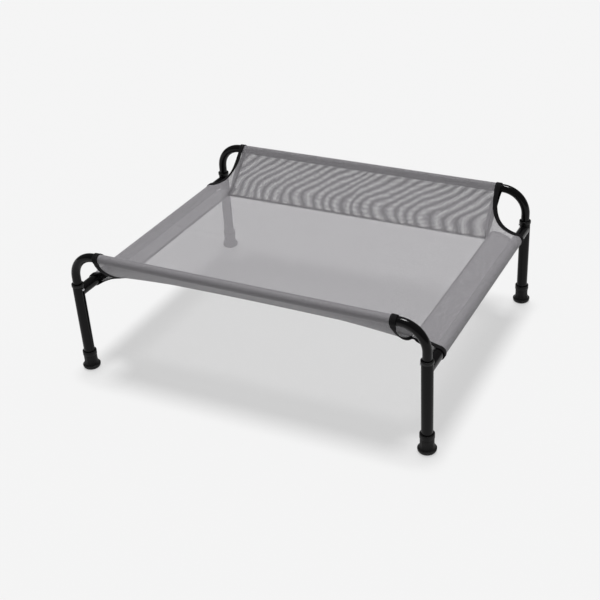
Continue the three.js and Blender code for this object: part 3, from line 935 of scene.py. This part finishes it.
def outer_layer(upper, upper_cloth, sy):
    """The cloth of a bolster from the upper layer's end, over the rail and down to the fold line."""
    centre = upper.shape[0] // 2
    columns = range(centre - BED_COLUMNS, centre + BED_COLUMNS + 1)
    row = -1 if sy > 0 else 0
    fold_row = upper.shape[1] // 2 + sy * BED_ROWS
    grid, cloth = [], []
    for i in columns:
        x = upper[i, row, 0]
        fold = np.array([abs(upper[i, fold_row, 1]), upper[i, fold_row, 2]])
        section = []
        for angle in np.linspace(LONG_START, LONG_END, OVER_ROWS + 1)[1:]:
            section.append(on_circle(LONG_RAIL, LONG_WRAP, angle))
        hem = hem_line(fold, LONG_TOUCH)
        under = section[-1]
        run = unit(hem[0] - under)
        outward = np.array([-run[1], run[0]])
        belly = BELLY[sy] * (x / RING_X) ** 2
        for share in np.linspace(0, 1, DOWN_ROWS + 1)[1:-1]:
            hang = belly * math.sin(share * math.pi) ** BELLY_FULLNESS
            section.append(under + (hem[0] - under) * share + outward * hang)
        section = np.array(section + hem)
        up = np.clip((section[:, 1] - SEAM_Z) / (LONG_RAIL_Z - SEAM_Z), 0, 1)
        grid.append(np.stack([np.full(len(section), x), sy * section[:, 0], section[:, 1]], 1))
        rail_point = [abs(upper[i, row, 1]), upper[i, row, 2]]
        steps = np.linalg.norm(np.diff(np.vstack([rail_point, section]), axis=0), axis=1)
        v = abs(upper_cloth[i, row, 1]) + np.cumsum(steps)
        skew = OUTER_SKEW * np.sin(np.minimum(up / SKEW_HEIGHT, 1) * math.pi / 2) + UPPER_SKEW * up
        skew = skew + CREASE * math.tanh((x - CREASE_X) / CREASE_WIDTH)
        cloth.append(np.stack([x * (OUTER_STRETCH[sy] - OUTER_TAPER * up) + skew, sy * v], 1))
    return np.array(grid), np.array(cloth)


def grid_faces(index, flipped=False):
    """The four-sided faces between a grid's vertices."""
    faces = [
        (index[i, j], index[i + 1, j], index[i + 1, j + 1], index[i, j + 1])
        for i in range(index.shape[0] - 1)
        for j in range(index.shape[1] - 1)
    ]
    return [face[::-1] for face in faces] if flipped else faces


def write_map(piece, coordinates):
    """Gives a mesh the map that its material reads, from one pair of numbers for each vertex."""
    layer = piece.data.uv_layers.new(name="cloth")
    corners = np.zeros(len(piece.data.loops), int)
    piece.data.loops.foreach_get("vertex_index", corners)
    layer.data.foreach_set("uv", np.asarray(coordinates, float)[corners].ravel())


def upper_face_look(i, j, shape):
    """Which of the sling's looks a face of the upper layer has."""
    half_i, half_j = shape[0] // 2, shape[1] // 2
    if abs(i + 0.5 - half_i) > BED_COLUMNS + CUTOUT_COLUMNS + WRAP_COLUMNS:
        # Under the side rails the cloth takes the slack look, whose threads are darkened as painted
        # shade.
        return SLACK
    on_rear_bolster = j >= half_j + BED_ROWS and abs(i + 0.5 - half_i) < BED_COLUMNS
    return STRETCHED if on_rear_bolster else PLAIN


def sling():
    """Makes the sheet and returns it with what its bindings and stitches follow."""
    rear, rear_cloth, free = upper_quarter(FLAP_REACH[1])
    front, front_cloth, _ = upper_quarter(FLAP_REACH[-1])
    upper = mirrored(rear, front, ([-1, 1, 1], [1, -1, 1]))
    upper_cloth = mirrored(rear_cloth, front_cloth, ([-1, 1], [1, -1]))
    free = free[..., None].astype(int)
    whole_free = mirrored(free, free, ([1], [1]))[..., 0].astype(bool)
    centre = upper.shape[0] // 2
    bolster = slice(centre - BED_COLUMNS, centre + BED_COLUMNS + 1)
    bolster_x = upper[bolster, :, 0].copy()
    upper = relaxed(upper, whole_free, SETTLE_ROUNDS)
    upper[bolster, :, 0] = bolster_x
    upper[..., 2] += ripples(upper) + fold_mark(upper)
    index = np.arange(upper.shape[0] * upper.shape[1]).reshape(upper.shape[:2])
    vertices, maps, faces = [upper.reshape(-1, 3)], [upper_cloth.reshape(-1, 2)], grid_faces(index)
    looks = [upper_face_look(*divmod(face[0], upper.shape[1]), upper.shape) for face in faces]
    start = index.size
    outer_index = {}
    for sy in SIDES_Y.values():
        grid, grid_cloth = outer_layer(upper, upper_cloth, sy)
        own = start + np.arange(grid.shape[0] * grid.shape[1]).reshape(grid.shape[:2])
        edge = index[bolster, -1 if sy > 0 else 0]
        outer_faces = grid_faces(np.concatenate([edge[:, None], own], axis=1), flipped=sy < 0)
        faces += outer_faces
        # The front bolster's outer layer takes the slack look, whose threads are darkened as painted
        # shade.
        looks += [STRETCHED if sy > 0 else SLACK] * len(outer_faces)
        vertices.append(grid.reshape(-1, 3))
        maps.append(grid_cloth.reshape(-1, 2))
        outer_index[sy] = own
        start += own.size
    piece = new_piece("sling", np.vstack(vertices), faces, MESH, math.radians(60), closed=False)
    write_map(piece, np.vstack(maps))
    piece.data.materials.append(STRETCHED_MESH)
    piece.data.materials.append(SLACK_SHADED_MESH)
    piece.data.polygons.foreach_set("material_index", looks)
    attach(piece, BODY)
    names = ["sling_bed_panel", "sling_left_sleeve", "sling_right_sleeve"]
    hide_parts(*names, "sling_front_bolster", "sling_rear_bolster")
    return piece, index, outer_index


cloth_piece, upper_index, outer_index = sling()
cloth_points = np.array([v.co for v in cloth_piece.data.vertices])
cloth_normals = np.array([v.normal for v in cloth_piece.data.vertices])


# ---- Binding tape and stitching --------------------------------------------------


def even_path(points, normals, step):
    """A polyline and its normals, taken again at even steps."""
    lengths = np.concatenate([[0], np.cumsum(np.linalg.norm(np.diff(points, axis=0), axis=1))])
    places = np.linspace(0, lengths[-1], max(2, int(lengths[-1] / step)) + 1)
    even_points = [np.interp(places, lengths, points[:, k]) for k in range(3)]
    even_normals = [np.interp(places, lengths, normals[:, k]) for k in range(3)]
    return np.stack(even_points, 1), unit(np.stack(even_normals, 1)), places


def corner_path(sx, sy):
    """The cloth's edge at a corner, from a fold line over both rails to the side seam underneath."""
    centre_i = upper_index.shape[0] // 2
    outer = outer_index[sy][-1 if sx > 0 else 0]
    edge = list(outer[: -HEM_STEPS][::-1])
    last_row = -1 if sy > 0 else 0
    for i in range(BED_COLUMNS, centre_i - HEM_STEPS + 1):
        edge.append(upper_index[centre_i + sx * i, last_row])
    return np.array(edge)


def binding(corner, sx, sy):
    """A tape folded over the cloth's edge all along a corner."""
    edge = corner_path(sx, sy)
    points, outward, places = even_path(cloth_points[edge], cloth_normals[edge], TAPE_STEP)
    points, outward = smoothed(points, 1), unit(smoothed(outward, 4))
    tangents = unit(np.gradient(points, axis=0))
    inward = unit(np.cross(outward, tangents))
    if np.sum(inward * ([0, 0, SEAM_Z] - points)) < 0:
        inward = -inward
    on_long = np.hypot(abs(points[:, 1]) - LEG_Y, points[:, 2] - LONG_RAIL_Z)
    on_side = np.hypot(abs(points[:, 0]) - LEG_X, points[:, 2] - SIDE_RAIL_Z)
    clear = np.clip((np.minimum(on_long, on_side) - TAPE_FREE_START) / TAPE_FREE_REACH, 0, 1)
    to_bed = unit([sx * SEAM_X, sy * FOLD_Y, SEAM_Z] - points)
    to_bed -= tangents * np.sum(to_bed * tangents, axis=1)[:, None]
    lean = clear * (np.sum(to_bed * inward, axis=1) > 0)
    inward = unit(smoothed(inward + TAPE_LEAN * to_bed * lean[:, None], 3))
    normals = unit(np.cross(tangents, inward))
    normals *= np.sign(np.sum(normals * outward, axis=1))[:, None]
    points = points + normals * TAPE_LIFT
    swell = 1 + TAPE_SWELL * np.clip((TAPE_SWELL_START - on_long) / TAPE_SWELL_REACH, 0, 1)
    swell *= np.clip(np.minimum(places, places[-1] - places) / TAPE_END, TAPE_END_WIDTH, 1)
    half, thick = TAPE_WIDTH / 2, TAPE_THICKNESS / 2
    outline = []
    for turn in np.linspace(-math.pi / 2, math.pi / 2, 7):
        outline.append((-half + thick - thick * math.cos(turn), thick * math.sin(turn)))
    lip = thick / 2
    for turn in np.linspace(math.pi / 2, -math.pi / 2, 5):
        outline.append((half - lip + lip * math.cos(turn), thick * math.sin(turn)))
    rings = [
        [point + inside * a * wide + up * b for a, b in outline]
        for point, inside, up, wide in zip(points, inward, normals, swell)
    ]
    vertices, faces = skin(rings)
    piece = new_piece(f"binding_{corner}", vertices, faces, TAPE, sharp=math.radians(60))
    across = np.array([a if b > 0 else -a - TAPE_WIDTH for a, b in outline])
    maps = [[(along, a) for a in across] for along in places]
    write_map(piece, np.array(maps).reshape(-1, 2))
    place(piece, f"corner_binding_{corner}")
    rows = []
    proud = thick + 0.1 * MM
    for face in (1, -1):
        row = points + inward * (half - STITCH_INSET) + normals * face * proud
        rows.append((row, normals * face))
    return piece, rows


def stitched(name, rows, material, sides=6):
    """Short threads along each row, as one piece."""
    angles = np.arange(sides) / sides * 2 * math.pi
    parts = []
    for points, normals in rows:
        line, up, _ = even_path(points, normals, STITCH + STITCH_GAP)
        for i in range(len(line) - 1):
            along = unit(line[i + 1] - line[i])
            side = np.cross(along, up[i])
            ring = np.outer(np.cos(angles), side) + np.outer(np.sin(angles), up[i])
            rings = []
            for share, radius, lift in STITCH_RINGS:
                centre = line[i] + along * STITCH * share + up[i] * THREAD_RADIUS * lift
                rings.append(centre + ring * THREAD_RADIUS * radius)
            parts.append(skin(rings))
    piece = new_piece(name, *joined(*parts), material, sharp=math.pi)
    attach(piece, BODY)
    return piece


def seam_rows():
    """Two rows of stitches along each fold line and each side seam, seen from above."""
    centre_i, centre_j = upper_index.shape[0] // 2, upper_index.shape[1] // 2
    rows = []
    span = slice(centre_i - BED_COLUMNS + 1, centre_i + BED_COLUMNS)
    for sy in SIDES_Y.values():
        fold_row = centre_j + sy * BED_ROWS
        fold = cloth_points[upper_index[span, fold_row]]
        rise = unit(cloth_points[upper_index[span, fold_row + sy]] - fold) * HEM
        normals = cloth_normals[upper_index[span, fold_row + 2 * sy]]
        for share in SEAM_ROWS:
            rows.append((fold + rise * share + normals * THREAD_RADIUS, normals))
    span = slice(centre_j - BED_ROWS + 1, centre_j + BED_ROWS)
    for sx in SIDES_X.values():
        for share in SEAM_ROWS:
            base = cloth_points[upper_index[centre_i + sx * BED_COLUMNS, span]]
            base[:, 0] = sx * (SEAM_X + HEM * share)
            base[:, 2] = SEAM_Z + SIDE_SLOPE * HEM * share
            normals = unit(np.repeat([[-sx * SIDE_SLOPE, 0, 1]], len(base), 0))
            rows.append((base + normals * THREAD_RADIUS, normals))
    return rows


tapes, tape_rows = [], []
for name_y, sy in SIDES_Y.items():
    for name_x, sx in SIDES_X.items():
        tape, rows = binding(f"{name_y}_{name_x}", sx, sy)
        tapes.append(tape)
        tape_rows += rows
seam_stitches = stitched("seam_stitches", seam_rows(), GREY_THREAD)
tape_stitches = stitched("tape_stitches", tape_rows, BLACK_THREAD)

rails = [f"{name_y}_rail_tube_{name_x}" for name_y in SIDES_Y for name_x in SIDES_X]
rails += [f"side_rail_tube_{name_x}" for name_x in SIDES_X]


# ---- Stage, light and camera -----------------------------------------------------


def floor():
    """A wide pale floor that gives off part of its own light."""
    reach = 30.0
    corners = [(-reach, -reach, 0), (reach, -reach, 0), (reach, reach, 0), (-reach, reach, 0)]
    look = Look("floor")
    look.set(Base_Color=grey(0.26), Roughness=0.9, Emission_Color=grey(1.0), Emission_Strength=0.56)
    piece = new_piece("floor", corners, [(0, 1, 2, 3)], look.material)


def sun(direction, strength, width):
    """Even light from overhead, as wide as a large softbox looks from the bed."""
    data = bpy.data.lights.new("sun", "SUN")
    data.energy = strength
    data.angle = width
    piece = bpy.data.objects.new("sun", data)
    bpy.context.scene.collection.objects.link(piece)
    piece.rotation_euler = Vector(direction).to_track_quat("-Z", "Y").to_euler()


def world(strength, backdrop):
    """Dim light from all round, behind a pale backdrop that gives no light of its own."""
    sky = bpy.data.worlds.new("studio")
    sky.use_nodes = True
    nodes, links = sky.node_tree.nodes, sky.node_tree.links
    seen = nodes.new("ShaderNodeLightPath").outputs["Is Camera Ray"]
    brightness = nodes.new("ShaderNodeMapRange")
    links.new(seen, brightness.inputs["Value"])
    brightness.inputs["To Min"].default_value = strength
    brightness.inputs["To Max"].default_value = backdrop
    nodes["Background"].inputs["Color"].default_value = grey(1.0)
    links.new(brightness.outputs["Result"], nodes["Background"].inputs["Strength"])
    bpy.context.scene.world = sky


def camera(at, yaw, pitch, roll, lens, shift_x):
    """A camera that looks towards +Y, turned by yaw, down by pitch and about its own axis by roll."""
    turn = Matrix.Rotation(-yaw, 4, "Z") @ Matrix.Rotation(math.pi / 2 - pitch, 4, "X")
    data = bpy.data.cameras.new("camera")
    data.sensor_width = 36
    data.lens = lens
    data.shift_x = shift_x
    piece = bpy.data.objects.new("camera", data)
    bpy.context.scene.collection.objects.link(piece)
    piece.matrix_world = Matrix.Translation(at) @ turn @ Matrix.Rotation(roll, 4, "Z")
    bpy.context.scene.camera = piece


floor()
sun(direction=(0.05, -0.1, -1), strength=3.4, width=math.radians(17))
world(strength=0.2, backdrop=0.89)
bpy.context.scene.view_settings.view_transform = "Standard"
camera(
    at=(1.0586, -1.9967, 1.4126), yaw=math.radians(-26.90), pitch=math.radians(30.39),
    roll=math.radians(-2.86), lens=66.23, shift_x=-0.0483,
)
